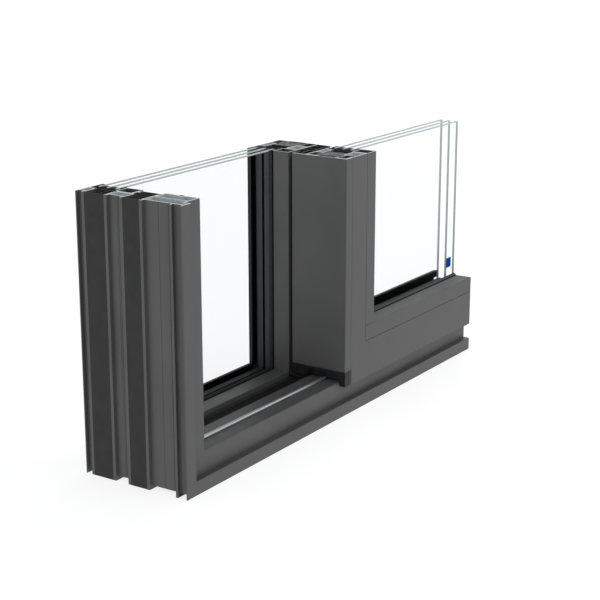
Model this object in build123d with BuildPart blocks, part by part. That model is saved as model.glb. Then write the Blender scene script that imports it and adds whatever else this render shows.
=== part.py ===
"""A cut sample of a triple glazed sliding patio door.

It is one lower corner of the frame with the fixed light at the back and the sliding sash in front,
closed, and every profile is cut through at the top and at the right.

Each extruded section is drawn in two numbers, as on a profile drawing: how deep it lies behind the
room side face, and how far inward it lies from the outer edge of the frame or of the leaf.
"""
import os

from build123d import *

os.makedirs("parts", exist_ok=True)

# Overall size of the sample
LENGTH = 811.5
HEIGHT = 404.0

# Aluminium walls, how far outer corners are eased off, and the shadow line beside a bead
WALL = 2.0
WEB = 1.6
EASE = 0.5
SEAM = 0.8
SEAM_DEPTH = 1.1

# Clearance between pieces that are fitted, and between pieces that slide past each other
SEAT_GAP = 0.3
RUN_GAP = 5.0

# Polyamide strips that join the aluminium, crimped into dovetail pockets
STRIP = 1.8
FOOT_LENGTH = 3.0
FOOT_WIDTH = 3.0
CRIMP_GAP = 0.1
BOSS_DEPTH = 4.6
BOSS_WIDTH = 5.6
BAR_WEB = 1.2

# A glazed leaf, the same for the fixed light and the sash. The edge seal is a spacer bar with sealant
# round it, as wide as the two show together
LEAF_DEPTH = 75.0
LEAF_WIDTH = 85.2
BEAD_WIDTH = 25.8
BEAD_DEPTH = 27.6
BEAD_WALL = 1.6
BEAD_GAP = 0.4
ROOM_PROFILE = 22.0
WEATHER_PROFILE = 22.0
GLASS = 4.0
CAVITY = 11.0
EDGE_COVER = 13.0
EDGE_SEAL = 12.0

# The gaskets on both sides of the glass
ROOM_GASKET = 6.4
GASKET_BODY = 9.0
GASKET_GROOVE = 1.0
ROOM_RISE = 3.4
WEATHER_RISE = 3.0
LIP_DROP = 1.0

# The uprights of a leaf: a chamber beside the glass on either side, and foam between them
CHAMBER_FROM = 27.0
ROOM_CHAMBER = 24.0
WEATHER_CHAMBER = 15.0
FOAM_SETBACK = 12.0
FOAM_TOP = 43.0

# Where the leaves stand
LEAF_SPACE = 30.0
MEETING_EDGE = 396.4
SASH_BOTTOM = 46.4
SILL_TOP = 52.5

# Outer frame, front profile with the sash's track
OUTER_RECESS = 5.6
FRONT_DEPTH = 70.0
LIP_HEIGHT = 20.5
LIP_SETBACK = 10.7
LEDGE_HEIGHT = 53.0
LEDGE_BACK = 68.0
HOOK_DEPTH = 20.0
HOOK_TOE = 3.5
HOOK_WALL = 1.5
MIDDLE_WEB = 30.0
GAP_FLOOR = 45.0

# Fine scored lines along the outer recesses
SCORE = 0.6
FRONT_SCORES = (22.8, 25.6, 42.4)
MIDDLE_SCORES = (5.5, 11.1, 13.5)

# Rail groove in the ledge, and the round topped steel rail in it
RAIL_PLACE = 40.0
RAIL_WIDTH = 6.0
RAIL_TOP = 57.0
GROOVE_DEPTH = 4.0
GROOVE_SIDE = 1.6
SEAL_RISE = 1.0

# Outer frame, middle and rear profiles, which glaze the fixed light
UPSTAND_DEPTH = 6.5
MIDDLE_DEPTH = 31.5
REAR_DEPTH = 15.5
REBATE_FLOOR = 27.0

# Sash track and the cover strip down the sash stile
TRACK_NOTCH = 18.8
COVER_GAP = 7.0
COVER_FLANGE = 17.6

# End cap under the cover
CAP_WIDTH = 18.6
CAP_HEIGHT = 24.2
CAP_TAIL_WIDTH = 6.2
CAP_PLATE_SETBACK = 2.5

# Interlock hooks between the two stiles
HOOK_PLATE = 2.0
HOOK_ARM = 3.0
HOOK_GAP = 6.0
SASH_HOOK_BASE = 40.0
SASH_HOOK_REACH = 19.4
HOOK_BODY_FROM = 2.6
HOOK_BODY_TO = 51.6

# Roller carriage in the sash rail, set in from the rail's butt against the stile
CARRIAGE_INSET = 39.2
CARRIAGE_LENGTH = 90.0
CARRIAGE_WIDTH = 20.0
CARRIAGE_HEIGHT = 22.0
CARRIAGE_WALL = 2.0
ROLLER_RADIUS = 12.0
ROLLER_WIDTH = 7.0
ROLLER_SPACING = 56.0
AXLE_RADIUS = 3.0

# Glazing packers under the panes. The sash's glass stands low in its rail
PACKER_LENGTH = 80.0
PACKER_INSET = 60.0
SASH_PACKER = 4.0

PANES = ("room", "middle", "weather")

# Depths, counted from the room side face of the frame or of a leaf
FIXED_LEAF_FRONT = LEAF_DEPTH + LEAF_SPACE
DEPTH = FIXED_LEAF_FRONT + LEAF_DEPTH
MIDDLE_FROM = FIXED_LEAF_FRONT - UPSTAND_DEPTH
MIDDLE_TO = MIDDLE_FROM + MIDDLE_DEPTH
REAR_FROM = DEPTH - REAR_DEPTH
FIRST_PANE = BEAD_DEPTH + ROOM_GASKET
LAST_PANE_BACK = FIRST_PANE + len(PANES) * GLASS + (len(PANES) - 1) * CAVITY
FLANGE_FRONT = LEAF_DEPTH - WALL
WEATHER_FROM = LEAF_DEPTH - WEATHER_PROFILE
CHAMBER_BACK = LEAF_DEPTH - WEATHER_CHAMBER
COVER_REACH = FIXED_LEAF_FRONT - COVER_GAP
HOOK_BEHIND = COVER_REACH - HOOK_ARM

# Widths, counted inward from the outer edge of the frame or of a leaf
PROFILE_WIDTH = LEAF_WIDTH - BEAD_WIDTH
GLASS_EDGE = LEAF_WIDTH - EDGE_COVER
BOSS_MIDDLE = BOSS_WIDTH / 2
LAPPED = STRIP + CRIMP_GAP
LAPPED_TOP = GAP_FLOOR - LAPPED
GROOVE_FLOOR = LEDGE_HEIGHT - GROOVE_DEPTH
SILL_SHIFT = SILL_TOP - LEAF_WIDTH
REAR_FOOT = GAP_FLOOR + RUN_GAP - SASH_BOTTOM

# Places along the sill, and heights
FIXED_EDGE = MEETING_EDGE + LEAF_WIDTH
RAIL_START = MEETING_EDGE + PROFILE_WIDTH
CAP_EDGE = MEETING_EDGE + CAP_WIDTH
CAP_TOP = SASH_BOTTOM + CAP_HEIGHT
NOTCH_TOP = SASH_BOTTOM + TRACK_NOTCH
SASH_RAIL_TOP = SASH_BOTTOM + LEAF_WIDTH
SASH_REBATE = SASH_BOTTOM + PROFILE_WIDTH
CARRIAGE_PLACE = RAIL_START + CARRIAGE_INSET + CARRIAGE_LENGTH / 2

LEFT = -LENGTH / 2
FRONT = -DEPTH / 2
ALONG_DEPTH = (0, 1, 0)
SILL = Plane(origin=(LEFT, FRONT, 0), x_dir=ALONG_DEPTH, z_dir=(1, 0, 0))
JAMB = Plane(origin=(LEFT, FRONT, HEIGHT), x_dir=ALONG_DEPTH, z_dir=(0, 0, -1))
MITRE = Plane(origin=(LEFT, FRONT, 0), x_dir=ALONG_DEPTH, z_dir=(1, 0, -1))
FIXED_STILE = Plane(
    origin=(LEFT + FIXED_EDGE, FRONT + FIXED_LEAF_FRONT, SILL_TOP),
    x_dir=ALONG_DEPTH,
    z_dir=(0, 0, 1),
)
SASH_STILE = Plane(origin=(LEFT + MEETING_EDGE, FRONT, HEIGHT), x_dir=ALONG_DEPTH, z_dir=(0, 0, -1))
SASH_RAIL = Plane(origin=(LEFT + MEETING_EDGE, FRONT, SASH_BOTTOM), x_dir=ALONG_DEPTH, z_dir=(1, 0, 0))
RAIL_MIDDLE = Plane(origin=(LEFT, FRONT + RAIL_PLACE, 0), x_dir=(1, 0, 0), z_dir=(0, 1, 0))


def save(piece, name):
    """Names a finished piece and writes it."""
    piece.part.label = name
    export_step(piece.part, f"parts/{name}.step")


def area(corner, opposite, mode=Mode.ADD):
    """A rectangle of a section between two opposite corners."""
    with Locations(((corner[0] + opposite[0]) / 2, (corner[1] + opposite[1]) / 2)):
        Rectangle(abs(opposite[0] - corner[0]), abs(opposite[1] - corner[1]), mode=mode)


def outline(*corners, mode=Mode.ADD):
    """A straight sided closed outline. A corner's third number says how far it is eased off."""
    points = []
    for place, (depth, inward, *ease) in enumerate(corners):
        here = Vector(depth, inward)
        if ease:
            before = Vector(*corners[place - 1][:2])
            after = Vector(*corners[(place + 1) % len(corners)][:2])
            points += [here + (other - here).normalized() * ease[0] for other in (before, after)]
        else:
            points.append(here)
    with BuildLine() as edge:
        Polyline(*points, close=True)
    make_face(edge.edges(), mode=mode)


def box(low, high, mode=Mode.ADD):
    """A block between two corners, measured from the frame's outer front corner."""
    middle = [(a + b) / 2 for a, b in zip(low, high)]
    with Locations((LEFT + middle[0], FRONT + middle[1], middle[2])):
        Box(*(b - a for a, b in zip(low, high)), mode=mode)


def dovetail(depth, inward, side, grow=0.0, mode=Mode.ADD):
    """The foot of a polyamide strip, or its pocket, behind a face at that depth."""
    mouth = STRIP / 2 + grow
    toe = FOOT_WIDTH / 2 + grow
    end = depth - side * (FOOT_LENGTH + grow)
    outline(
        (depth, inward - mouth),
        (end, inward - toe),
        (end, inward + toe),
        (depth, inward + mouth),
        mode=mode,
    )


def crimp(depth, inward, side):
    """A boss with a dovetail pocket, open towards greater depth where side is 1."""
    area((depth - side * BOSS_DEPTH, inward - BOSS_MIDDLE), (depth, inward + BOSS_MIDDLE))
    dovetail(depth, inward, side, CRIMP_GAP, Mode.SUBTRACT)


def strip(start, end, face, side, lap=0.0):
    """A polyamide strip between two bosses, flush with their face and with a foot in each.

    Side is 1 where the bosses lie inward of the face. A strip that laps over its second boss has a
    longer neck there, because that boss lies lower.
    """
    area((start, face), (end + lap, face + side * STRIP))
    for place, way, lower in ((start, 1, 0.0), (end, -1, LAPPED if lap else 0.0)):
        foot = face + side * (BOSS_MIDDLE + lower)
        area((place, face), (place + way * STRIP, foot + side * STRIP / 2))
        dovetail(place, foot, way)


def bar_webs(start, end, top, count):
    """The webs that join an outer and an inner strip into one hollow bar."""
    step = (end - start) / (count + 1)
    for web in range(count):
        middle = start + step * (web + 1)
        area((middle - BAR_WEB / 2, STRIP), (middle + BAR_WEB / 2, top - STRIP))


def chambers(low, high, webs):
    """Hollows out a box shaped profile and leaves that many webs across it."""
    clear = high[1] - low[1] - 2 * WALL
    room = (clear - webs * WEB) / (webs + 1)
    for chamber in range(webs + 1):
        start = low[1] + WALL + chamber * (room + WEB)
        area((low[0] + WALL, start), (high[0] - WALL, start + room), Mode.SUBTRACT)


def score(depth, inward):
    """A fine line scored into a recess floor."""
    outline((depth - SCORE, inward), (depth, inward + SCORE), (depth + SCORE, inward), mode=Mode.SUBTRACT)


def front_profile():
    """Room side frame profile: lip, riser, ledge with the rail groove, and the outer feet."""
    boss_front = FRONT_DEPTH - BOSS_DEPTH
    outline(
        (0, 0, EASE),
        (0, LIP_HEIGHT, EASE),
        (LIP_SETBACK, LIP_HEIGHT),
        (LIP_SETBACK, LEDGE_HEIGHT, EASE),
        (LEDGE_BACK, LEDGE_HEIGHT, EASE),
        (LEDGE_BACK, GAP_FLOOR),
        (FRONT_DEPTH, GAP_FLOOR),
        (FRONT_DEPTH, 0),
        (boss_front, 0),
        (boss_front, OUTER_RECESS),
        (HOOK_DEPTH, OUTER_RECESS),
        (HOOK_DEPTH, 0),
        (HOOK_DEPTH - HOOK_TOE, 0),
        (HOOK_DEPTH - HOOK_TOE, HOOK_WALL),
        (HOOK_DEPTH - HOOK_WALL, HOOK_WALL),
        (HOOK_DEPTH - HOOK_WALL, OUTER_RECESS),
        (WALL, OUTER_RECESS),
        (WALL, 0),
    )
    riser_inside = LIP_SETBACK + WALL
    back_inside = FRONT_DEPTH - WALL
    outline(
        (WALL, OUTER_RECESS + WALL),
        (WALL, LIP_HEIGHT - WALL),
        (riser_inside, LIP_HEIGHT - WALL),
        (riser_inside, MIDDLE_WEB - WEB / 2),
        (back_inside, MIDDLE_WEB - WEB / 2),
        (back_inside, OUTER_RECESS + WALL),
        mode=Mode.SUBTRACT,
    )
    area((riser_inside, MIDDLE_WEB + WEB / 2), (LEDGE_BACK - WALL, LEDGE_HEIGHT - WALL), Mode.SUBTRACT)
    rail_side = RAIL_WIDTH / 2 + SEAT_GAP
    groove_from = RAIL_PLACE - rail_side - GROOVE_SIDE
    groove_to = RAIL_PLACE + rail_side
    area((groove_from - WEB, GROOVE_FLOOR - WEB), (groove_to + WEB, LEDGE_HEIGHT))
    area((groove_from, GROOVE_FLOOR), (groove_to, LEDGE_HEIGHT), Mode.SUBTRACT)
    crimp(FRONT_DEPTH, BOSS_MIDDLE, 1)
    crimp(FRONT_DEPTH, GAP_FLOOR - BOSS_MIDDLE, 1)
    for place in FRONT_SCORES:
        score(place, OUTER_RECESS)


def middle_profile():
    """Middle frame profile, with the upstand beside the track gap."""
    outline(
        (MIDDLE_FROM, 0),
        (MIDDLE_FROM, REBATE_FLOOR),
        (FIXED_LEAF_FRONT - WALL, REBATE_FLOOR),
        (FIXED_LEAF_FRONT - WALL, LAPPED_TOP),
        (FIXED_LEAF_FRONT, LAPPED_TOP),
        (FIXED_LEAF_FRONT, REBATE_FLOOR),
        (MIDDLE_TO, REBATE_FLOOR),
        (MIDDLE_TO, 0),
        (MIDDLE_TO - BOSS_DEPTH, 0),
        (MIDDLE_TO - BOSS_DEPTH, OUTER_RECESS),
        (MIDDLE_FROM + BOSS_DEPTH, OUTER_RECESS),
        (MIDDLE_FROM + BOSS_DEPTH, 0),
    )
    area((MIDDLE_FROM + WALL, OUTER_RECESS + WALL), (MIDDLE_TO - WALL, REBATE_FLOOR - WALL), Mode.SUBTRACT)
    area((MIDDLE_FROM, LAPPED_TOP - BOSS_WIDTH), (FIXED_LEAF_FRONT, LAPPED_TOP))
    dovetail(MIDDLE_FROM, LAPPED_TOP - BOSS_MIDDLE, -1, CRIMP_GAP, Mode.SUBTRACT)
    crimp(MIDDLE_FROM, BOSS_MIDDLE, -1)
    crimp(MIDDLE_TO, BOSS_MIDDLE, 1)
    crimp(MIDDLE_TO, REBATE_FLOOR - BOSS_MIDDLE, 1)
    for place in MIDDLE_SCORES:
        score(MIDDLE_FROM + place, OUTER_RECESS)


def rear_profile():
    """Weather side frame profile, with the flange that holds the outer gasket."""
    outline(
        (REAR_FROM, 0),
        (REAR_FROM, REBATE_FLOOR),
        (DEPTH - WALL, REBATE_FLOOR),
        (DEPTH - WALL, SILL_TOP),
        (DEPTH, SILL_TOP, EASE),
        (DEPTH, 0, EASE),
        (DEPTH - WALL, 0),
        (DEPTH - WALL, OUTER_RECESS),
        (REAR_FROM + BOSS_DEPTH, OUTER_RECESS),
        (REAR_FROM + BOSS_DEPTH, 0),
    )
    area((REAR_FROM + WALL, OUTER_RECESS + WALL), (DEPTH - WALL, REBATE_FLOOR - WALL), Mode.SUBTRACT)
    crimp(REAR_FROM, BOSS_MIDDLE, -1)
    crimp(REAR_FROM, REBATE_FLOOR - BOSS_MIDDLE, -1)


def frame_strips():
    """The two hollow bars that join the three frame profiles."""
    strip(FRONT_DEPTH, MIDDLE_FROM, 0, 1)
    strip(FRONT_DEPTH, MIDDLE_FROM, GAP_FLOOR, -1, UPSTAND_DEPTH)
    bar_webs(FRONT_DEPTH, MIDDLE_FROM, GAP_FLOOR, count=2)
    strip(MIDDLE_TO, REAR_FROM, 0, 1)
    strip(MIDDLE_TO, REAR_FROM, REBATE_FLOOR, -1)
    bar_webs(MIDDLE_TO, REAR_FROM, REBATE_FLOOR, count=2)


def bead(front, low, high):
    """A hollow glazing bead, with a shadow line at its seam and an eased lip."""
    back = front + BEAD_DEPTH
    outline(
        (front + SEAM_DEPTH, low),
        (front + SEAM_DEPTH, low + SEAM),
        (front, low + SEAM),
        (front, high, EASE),
        (back, high),
        (back, low),
    )
    area((front + BEAD_WALL, low + BEAD_WALL), (back - BEAD_WALL, high - BEAD_WALL), Mode.SUBTRACT)


def frame_bead():
    """The glazing bead on the frame, beside the fixed light."""
    bead(FIXED_LEAF_FRONT, REBATE_FLOOR, SILL_TOP)


def leaf_bead():
    """The glazing bead of a leaf."""
    bead(0, PROFILE_WIDTH, LEAF_WIDTH)


def gaskets(front, shift):
    """The room side and weather side gasket of a leaf, set deep by front and inward by shift."""
    edge = shift + LEAF_WIDTH
    seat = edge - GASKET_BODY
    bead_back = front + BEAD_DEPTH
    pane = front + FIRST_PANE
    outline(
        (bead_back, seat),
        (bead_back, edge - LIP_DROP),
        (bead_back + GASKET_GROOVE, edge - LIP_DROP),
        (bead_back + 2 * GASKET_GROOVE, edge + LIP_DROP),
        (pane - GASKET_GROOVE, edge + ROOM_RISE),
        (pane, edge + ROOM_RISE),
        (pane, seat),
    )
    last = front + LAST_PANE_BACK
    outline(
        (last, seat),
        (last, edge + WEATHER_RISE),
        (front + LEAF_DEPTH, edge + WEATHER_RISE - LIP_DROP),
        (front + LEAF_DEPTH, edge),
        (front + FLANGE_FRONT, edge),
        (front + FLANGE_FRONT, seat),
    )


def frame_gaskets():
    """Gaskets of the fixed light along the frame."""
    gaskets(FIXED_LEAF_FRONT, SILL_SHIFT)


def mitred(plane, length, side, section):
    """A bar of one section, cut at 45 degrees at the corner of the frame."""
    with BuildPart() as bar:
        with BuildSketch(plane):
            section()
        extrude(amount=length)
        split(bisect_by=MITRE, keep=side)
    return bar


def frame_member(name, section):
    """Makes the jamb and the sill of one section."""
    save(mitred(JAMB, HEIGHT, Keep.BOTTOM, section), f"jamb_{name}")
    save(mitred(SILL, LENGTH, Keep.TOP, section), f"sill_{name}")


frame_member("front_profile", front_profile)
frame_member("middle_profile", middle_profile)
frame_member("rear_profile", rear_profile)
frame_member("strips", frame_strips)
frame_member("bead", frame_bead)

# The steel rail in the groove of the sill, and the seal in the same groove of the jamb
rail_radius = RAIL_WIDTH / 2
rail_base = GROOVE_FLOOR + SEAT_GAP
with BuildPart() as running_rail:
    with BuildSketch(SILL):
        area((RAIL_PLACE - rail_radius, rail_base), (RAIL_PLACE + rail_radius, RAIL_TOP - rail_radius))
        with Locations((RAIL_PLACE, RAIL_TOP - rail_radius)):
            Circle(rail_radius)
    extrude(amount=LENGTH)
    box((0, 0, 0), (LEDGE_HEIGHT + SEAT_GAP, DEPTH, HEIGHT), Mode.SUBTRACT)
save(running_rail, "running_rail")

with BuildPart() as jamb_seal:
    with BuildSketch(JAMB):
        area((RAIL_PLACE - rail_radius, rail_base), (RAIL_PLACE + rail_radius, LEDGE_HEIGHT + SEAL_RISE))
    extrude(amount=HEIGHT - RAIL_TOP - SEAT_GAP)
save(jamb_seal, "jamb_seal")

# Threshold cover over the empty rebate beside the fixed light
cover_from = FIXED_LEAF_FRONT + BEAD_DEPTH
with BuildPart() as threshold_cover:
    with BuildSketch(SILL.offset(FIXED_EDGE + SEAT_GAP)):
        area((cover_from, REBATE_FLOOR), (DEPTH - WALL, SILL_TOP))
        area((cover_from + WALL, REBATE_FLOOR), (DEPTH - 2 * WALL, SILL_TOP - WALL), Mode.SUBTRACT)
    extrude(amount=LENGTH - FIXED_EDGE - SEAT_GAP)
save(threshold_cover, "threshold_cover")


def upright_chamber(front, back):
    """The closed chamber of an upright's profile, beside the glass."""
    area((front, CHAMBER_FROM), (back, PROFILE_WIDTH))
    chambers((front, CHAMBER_FROM), (back, PROFILE_WIDTH), webs=0)


def upright_room():
    """Room side profile of the fixed light's upright."""
    outline(
        (0, 0, EASE),
        (0, CHAMBER_FROM),
        (WALL, CHAMBER_FROM),
        (WALL, WALL),
        (ROOM_PROFILE, WALL),
        (ROOM_PROFILE, 0),
    )
    upright_chamber(0, ROOM_CHAMBER)
    crimp(ROOM_PROFILE, BOSS_MIDDLE, 1)
    crimp(ROOM_CHAMBER, PROFILE_WIDTH - BOSS_MIDDLE, 1)


def covered_room():
    """Room side profile of the sash's upright, set back behind the flange of the cover strip."""
    outline(
        (WALL, WALL),
        (WALL, COVER_FLANGE),
        (0, COVER_FLANGE, EASE),
        (0, CHAMBER_FROM),
        (WALL, CHAMBER_FROM),
        (WALL, COVER_FLANGE + WALL),
        (2 * WALL, COVER_FLANGE + WALL),
        (2 * WALL, 2 * WALL),
        (ROOM_PROFILE, 2 * WALL),
        (ROOM_PROFILE, WALL),
    )
    upright_chamber(0, ROOM_CHAMBER)
    crimp(ROOM_PROFILE, WALL + BOSS_MIDDLE, 1)
    crimp(ROOM_CHAMBER, PROFILE_WIDTH - BOSS_MIDDLE, 1)


def upright_weather(low):
    """Weather side profile of an upright, with the flange for the outer gasket."""
    outline(
        (LEAF_DEPTH, low, EASE),
        (LEAF_DEPTH, LEAF_WIDTH, EASE),
        (FLANGE_FRONT, LEAF_WIDTH),
        (FLANGE_FRONT, low + WALL),
        (WEATHER_FROM, low + WALL),
        (WEATHER_FROM, low),
    )
    upright_chamber(CHAMBER_BACK, LEAF_DEPTH)
    crimp(WEATHER_FROM, low + BOSS_MIDDLE, -1)
    crimp(CHAMBER_BACK, PROFILE_WIDTH - BOSS_MIDDLE, -1)


def upright_strips(low):
    """Strips between the two profiles of an upright."""
    strip(ROOM_PROFILE, WEATHER_FROM, low, 1)
    strip(ROOM_CHAMBER, CHAMBER_BACK, PROFILE_WIDTH, -1)


def upright_foam(low):
    """Foam core of an upright, narrower between its chambers."""
    side = low + BOSS_WIDTH + SEAT_GAP
    shoulder = CHAMBER_FROM - SEAT_GAP
    outline(
        (FOAM_SETBACK, side),
        (FOAM_SETBACK, shoulder),
        (ROOM_CHAMBER + SEAT_GAP, shoulder),
        (ROOM_CHAMBER + SEAT_GAP, FOAM_TOP),
        (CHAMBER_BACK - SEAT_GAP, FOAM_TOP),
        (CHAMBER_BACK - SEAT_GAP, shoulder),
        (LEAF_DEPTH - FOAM_SETBACK, shoulder),
        (LEAF_DEPTH - FOAM_SETBACK, side),
    )


def fixed_upright(name, section):
    """Makes one piece of the fixed stile."""
    with BuildPart() as upright:
        with BuildSketch(FIXED_STILE):
            section()
        extrude(amount=HEIGHT - SILL_TOP)
    save(upright, name)


fixed_upright("fixed_stile_room_profile", upright_room)
fixed_upright("fixed_stile_weather_profile", lambda: upright_weather(0))
fixed_upright("fixed_stile_strips", lambda: upright_strips(0))
fixed_upright("fixed_stile_foam", lambda: upright_foam(0))
fixed_upright("fixed_stile_bead", leaf_bead)

# Gaskets round the fixed light, welded at the corners
with BuildPart() as fixed_gaskets:
    with BuildSketch(FIXED_STILE):
        gaskets(0, 0)
    extrude(amount=HEIGHT - SILL_TOP)
    add(mitred(JAMB, HEIGHT, Keep.BOTTOM, frame_gaskets).part)
    add(mitred(SILL, MEETING_EDGE, Keep.TOP, frame_gaskets).part)
save(fixed_gaskets, "fixed_gaskets")


def cut_foot():
    """Clears the bottom rail, the track, the gap and the end cap from the foot of the sash stile."""
    box((RAIL_START, 0, SASH_BOTTOM), (LENGTH, LEAF_DEPTH, SASH_RAIL_TOP), Mode.SUBTRACT)
    box((MEETING_EDGE, WALL, SASH_BOTTOM), (LENGTH, FLANGE_FRONT, NOTCH_TOP), Mode.SUBTRACT)
    box((MEETING_EDGE, FLANGE_FRONT, SASH_BOTTOM), (LENGTH, LEAF_DEPTH, GAP_FLOOR + RUN_GAP), Mode.SUBTRACT)
    box((MEETING_EDGE, 0, SASH_BOTTOM), (CAP_EDGE, LEAF_DEPTH, CAP_TOP), Mode.SUBTRACT)


def sash_upright(name, section):
    """Makes one piece of the sash stile."""
    with BuildPart() as upright:
        with BuildSketch(SASH_STILE):
            section()
        extrude(amount=HEIGHT - SASH_BOTTOM)
        cut_foot()
    save(upright, name)


sash_upright("sash_stile_room_profile", covered_room)
sash_upright("sash_stile_weather_profile", lambda: upright_weather(WALL))
sash_upright("sash_stile_strips", lambda: upright_strips(WALL))
sash_upright("sash_stile_foam", lambda: upright_foam(WALL))

with BuildPart() as stile_cover:
    with BuildSketch(SASH_STILE):
        outline(
            (0, 0, EASE),
            (0, COVER_FLANGE, EASE),
            (WALL, COVER_FLANGE),
            (WALL, WALL),
            (COVER_REACH, WALL),
            (COVER_REACH, 0, EASE),
        )
    extrude(amount=HEIGHT - CAP_TOP)
save(stile_cover, "sash_stile_cover")

with BuildPart() as stile_bead:
    with BuildSketch(SASH_STILE):
        leaf_bead()
    extrude(amount=HEIGHT - SASH_RAIL_TOP - BEAD_GAP)
save(stile_bead, "sash_stile_bead")


def rail_room():
    """Room side profile of the sash rail, with the leg in front of the track."""
    outline(
        (0, 0, EASE),
        (0, PROFILE_WIDTH),
        (ROOM_PROFILE, PROFILE_WIDTH),
        (ROOM_PROFILE, TRACK_NOTCH),
        (WALL, TRACK_NOTCH),
        (WALL, 0),
    )
    chambers((0, TRACK_NOTCH), (ROOM_PROFILE, PROFILE_WIDTH), webs=1)
    crimp(ROOM_PROFILE, TRACK_NOTCH + BOSS_MIDDLE, 1)
    crimp(ROOM_PROFILE, PROFILE_WIDTH - BOSS_MIDDLE, 1)


def rail_weather():
    """Weather side profile of the sash rail, with the leg behind the track and the gasket's flange."""
    outline(
        (LEAF_DEPTH, REAR_FOOT, EASE),
        (LEAF_DEPTH, LEAF_WIDTH, EASE),
        (FLANGE_FRONT, LEAF_WIDTH),
        (FLANGE_FRONT, PROFILE_WIDTH),
        (WEATHER_FROM, PROFILE_WIDTH),
        (WEATHER_FROM, TRACK_NOTCH),
        (FLANGE_FRONT, TRACK_NOTCH),
        (FLANGE_FRONT, REAR_FOOT),
    )
    chambers((WEATHER_FROM, TRACK_NOTCH), (LEAF_DEPTH, PROFILE_WIDTH), webs=1)
    crimp(WEATHER_FROM, TRACK_NOTCH + BOSS_MIDDLE, -1)
    crimp(WEATHER_FROM, PROFILE_WIDTH - BOSS_MIDDLE, -1)


def rail_strips():
    """Strips between the two profiles of the sash rail."""
    strip(ROOM_PROFILE, WEATHER_FROM, TRACK_NOTCH, 1)
    strip(ROOM_PROFILE, WEATHER_FROM, PROFILE_WIDTH, -1)


def rail_foam():
    """Foam core of the sash rail."""
    area(
        (ROOM_PROFILE + SEAT_GAP, TRACK_NOTCH + BOSS_WIDTH + SEAT_GAP),
        (WEATHER_FROM - SEAT_GAP, PROFILE_WIDTH - BOSS_WIDTH - SEAT_GAP),
    )


def carriage_pocket():
    """Clears the roller carriage from a piece of the sash rail."""
    half = CARRIAGE_LENGTH / 2 + SEAT_GAP
    side = CARRIAGE_WIDTH / 2 + SEAT_GAP
    box(
        (CARRIAGE_PLACE - half, RAIL_PLACE - side, NOTCH_TOP),
        (CARRIAGE_PLACE + half, RAIL_PLACE + side, NOTCH_TOP + CARRIAGE_HEIGHT + SEAT_GAP),
        Mode.SUBTRACT,
    )


def bead_butt():
    """The shadow line where the rail's bead butts against the stile."""
    box((RAIL_START, 0, SASH_REBATE), (RAIL_START + SEAM, SEAM_DEPTH, SASH_RAIL_TOP), Mode.SUBTRACT)


def sash_rail(name, section, *cuts):
    """Makes one piece of the sash rail, from the stile to the cut end."""
    with BuildPart() as piece:
        with BuildSketch(SASH_RAIL.offset(PROFILE_WIDTH)):
            section()
        extrude(amount=LENGTH - RAIL_START)
        for cut in cuts:
            cut()
    save(piece, name)


sash_rail("sash_rail_room_profile", rail_room)
sash_rail("sash_rail_weather_profile", rail_weather)
sash_rail("sash_rail_strips", rail_strips, carriage_pocket)
sash_rail("sash_rail_foam", rail_foam, carriage_pocket)
sash_rail("sash_rail_bead", leaf_bead, bead_butt)

# Gaskets round the sash's glass, welded at the corner
with BuildPart() as sash_gaskets:
    with BuildSketch(SASH_STILE):
        gaskets(0, 0)
    extrude(amount=HEIGHT - SASH_RAIL_TOP)
    with BuildSketch(SASH_RAIL.offset(LEAF_WIDTH)):
        gaskets(0, 0)
    extrude(amount=LENGTH - MEETING_EDGE - LEAF_WIDTH)
save(sash_gaskets, "sash_gaskets")

# Dark end cap at the foot of the sash stile: it straddles the track, a plate set back into it closes
# its arch round the rail, and a tail runs back under the cover strip
arch_from = LIP_SETBACK - RUN_GAP
arch_to = LEDGE_BACK + RUN_GAP
plate_from = MEETING_EDGE + CAP_PLATE_SETBACK
plate_to = plate_from + WALL
slot_half = rail_radius + RUN_GAP
with BuildPart() as end_cap:
    box((MEETING_EDGE, 0, SASH_BOTTOM), (CAP_EDGE, LEAF_DEPTH, CAP_TOP))
    box((MEETING_EDGE, LEAF_DEPTH, SASH_BOTTOM), (MEETING_EDGE + CAP_TAIL_WIDTH, COVER_REACH, CAP_TOP))
    box((MEETING_EDGE, arch_from, SASH_BOTTOM), (CAP_EDGE, arch_to, NOTCH_TOP), Mode.SUBTRACT)
    box((MEETING_EDGE, arch_to, SASH_BOTTOM), (CAP_EDGE, COVER_REACH, GAP_FLOOR + RUN_GAP), Mode.SUBTRACT)
    box((plate_from, arch_from, LEDGE_HEIGHT + RUN_GAP), (plate_to, arch_to, NOTCH_TOP))
    box(
        (plate_from, RAIL_PLACE - slot_half, LEDGE_HEIGHT + RUN_GAP),
        (plate_to, RAIL_PLACE + slot_half, RAIL_TOP + RUN_GAP),
        Mode.SUBTRACT,
    )
save(end_cap, "sash_end_cap")

# Interlock: a hook on each stile, which catch behind each other when the sash is closed
with BuildPart() as sash_hook:
    with BuildSketch(SASH_STILE):
        area((LEAF_DEPTH, WALL), (LEAF_DEPTH + HOOK_PLATE, SASH_HOOK_BASE))
        area((LEAF_DEPTH, WALL), (COVER_REACH, WALL + HOOK_ARM))
        area((HOOK_BEHIND, WALL), (COVER_REACH, WALL + SASH_HOOK_REACH))
    extrude(amount=HEIGHT - CAP_TOP)
save(sash_hook, "sash_interlock")

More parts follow.
